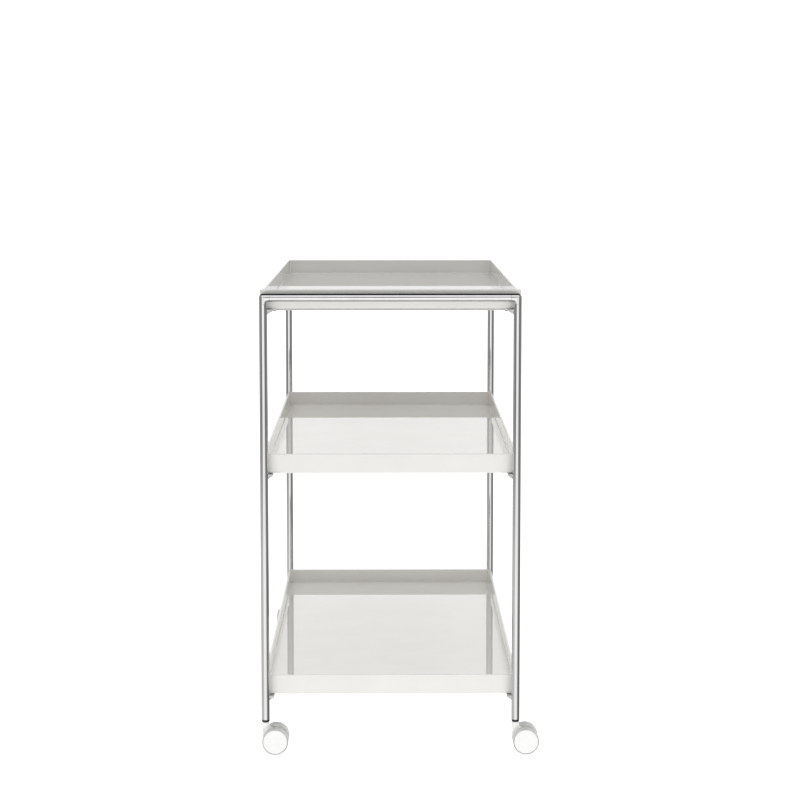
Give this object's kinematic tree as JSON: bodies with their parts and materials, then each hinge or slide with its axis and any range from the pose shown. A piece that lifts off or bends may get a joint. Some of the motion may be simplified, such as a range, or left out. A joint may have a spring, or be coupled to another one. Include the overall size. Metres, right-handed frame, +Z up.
{
  "type": "bar cart on wheels",
  "caption": "Narrow serving cart: glossy rimmed trays held between chromed tube end frames, rolling on small twin-wheel swivel casters",
  "frame": {"origin": "on the floor, under the middle of the tube frame", "axes": "+Y along the cart's length, +X across it, +Z up"},
  "size_m": [0.4482, 0.832, 0.7174],
  "materials": {
    "chromed_tube": "polished chrome plate on steel tube",
    "chromed_steel": "chrome plate on pressed steel",
    "tray_plastic": "high-gloss moulded ABS, warm white",
    "caster_plastic": "satin moulded nylon, white",
    "soft_tread": "soft moulded tread, pale grey",
    "black_nylon": "moulded nylon, black",
    "zinc_steel": "bright zinc plate"
  },
  "bodies": {
    "root": {"front_crossbar": "chromed_tube", "front_strap": "chromed_steel", "rear_crossbar": "chromed_tube", "rear_strap": "chromed_steel", "top_tray": "tray_plastic", "top_tray_lugs": "chromed_steel", "top_tray_screws": "zinc_steel", "middle_tray": "tray_plastic", "middle_tray_lugs": "chromed_steel", "middle_tray_screws": "zinc_steel", "bottom_tray": "tray_plastic", "bottom_tray_lugs": "chromed_steel", "bottom_tray_screws": "zinc_steel", "strap_screws": "zinc_steel", "stem_grip_rings": "zinc_steel", "front_left_post": "chromed_tube", "front_left_elbow": "chromed_tube", "front_left_socket": "black_nylon", "front_left_stem": "zinc_steel", "front_right_post": "chromed_tube", "front_right_elbow": "chromed_tube", "front_right_socket": "black_nylon", "front_right_stem": "zinc_steel", "rear_left_post": "chromed_tube", "rear_left_elbow": "chromed_tube", "rear_left_socket": "black_nylon", "rear_left_stem": "zinc_steel", "rear_right_post": "chromed_tube", "rear_right_elbow": "chromed_tube", "rear_right_socket": "black_nylon", "rear_right_stem": "zinc_steel"},
    "front_left_caster": {"front_left_housing": "caster_plastic", "front_left_axle": "zinc_steel"},
    "front_left_wheel_a": {"front_left_hub_a": "caster_plastic", "front_left_tyre_a": "soft_tread"},
    "front_left_wheel_b": {"front_left_hub_b": "caster_plastic", "front_left_tyre_b": "soft_tread"},
    "front_right_caster": {"front_right_housing": "caster_plastic", "front_right_axle": "zinc_steel"},
    "front_right_wheel_a": {"front_right_hub_a": "caster_plastic", "front_right_tyre_a": "soft_tread"},
    "front_right_wheel_b": {"front_right_hub_b": "caster_plastic", "front_right_tyre_b": "soft_tread"},
    "rear_left_caster": {"rear_left_housing": "caster_plastic", "rear_left_axle": "zinc_steel"},
    "rear_left_wheel_a": {"rear_left_hub_a": "caster_plastic", "rear_left_tyre_a": "soft_tread"},
    "rear_left_wheel_b": {"rear_left_hub_b": "caster_plastic", "rear_left_tyre_b": "soft_tread"},
    "rear_right_caster": {"rear_right_housing": "caster_plastic", "rear_right_axle": "zinc_steel"},
    "rear_right_wheel_a": {"rear_right_hub_a": "caster_plastic", "rear_right_tyre_a": "soft_tread"},
    "rear_right_wheel_b": {"rear_right_hub_b": "caster_plastic", "rear_right_tyre_b": "soft_tread"}
  },
  "joints": [
    {"name": "front_left_swivel", "type": "hinge", "parent": "root", "child": "front_left_caster", "pos_m": [-0.1935, -0.3935, 0.0463], "axis": [0, 0, 1], "continuous": true},
    {"name": "front_left_spin_a", "type": "hinge", "parent": "front_left_caster", "child": "front_left_wheel_a", "pos_m": [-0.178, -0.3935, 0.02], "axis": [0, 1, 0], "continuous": true},
    {"name": "front_left_spin_b", "type": "hinge", "parent": "front_left_caster", "child": "front_left_wheel_b", "pos_m": [-0.178, -0.3935, 0.02], "axis": [0, 1, 0], "continuous": true},
    {"name": "front_right_swivel", "type": "hinge", "parent": "root", "child": "front_right_caster", "pos_m": [0.1935, -0.3935, 0.0463], "axis": [0, 0, 1], "continuous": true},
    {"name": "front_right_spin_a", "type": "hinge", "parent": "front_right_caster", "child": "front_right_wheel_a", "pos_m": [0.209, -0.3935, 0.02], "axis": [0, 1, 0], "continuous": true},
    {"name": "front_right_spin_b", "type": "hinge", "parent": "front_right_caster", "child": "front_right_wheel_b", "pos_m": [0.209, -0.3935, 0.02], "axis": [0, 1, 0], "continuous": true},
    {"name": "rear_left_swivel", "type": "hinge", "parent": "root", "child": "rear_left_caster", "pos_m": [-0.1935, 0.3935, 0.0463], "axis": [0, 0, 1], "continuous": true},
    {"name": "rear_left_spin_a", "type": "hinge", "parent": "rear_left_caster", "child": "rear_left_wheel_a", "pos_m": [-0.19539, 0.37812, 0.02], "axis": [0.9925, -0.1219, 0], "continuous": true},
    {"name": "rear_left_spin_b", "type": "hinge", "parent": "rear_left_caster", "child": "rear_left_wheel_b", "pos_m": [-0.19539, 0.37812, 0.02], "axis": [0.9925, -0.1219, 0], "continuous": true},
    {"name": "rear_right_swivel", "type": "hinge", "parent": "root", "child": "rear_right_caster", "pos_m": [0.1935, 0.3935, 0.0463], "axis": [0, 0, 1], "continuous": true},
    {"name": "rear_right_spin_a", "type": "hinge", "parent": "rear_right_caster", "child": "rear_right_wheel_a", "pos_m": [0.178, 0.3935, 0.02], "axis": [0, -1, 0], "continuous": true},
    {"name": "rear_right_spin_b", "type": "hinge", "parent": "rear_right_caster", "child": "rear_right_wheel_b", "pos_m": [0.178, 0.3935, 0.02], "axis": [0, -1, 0], "continuous": true}
  ]
}
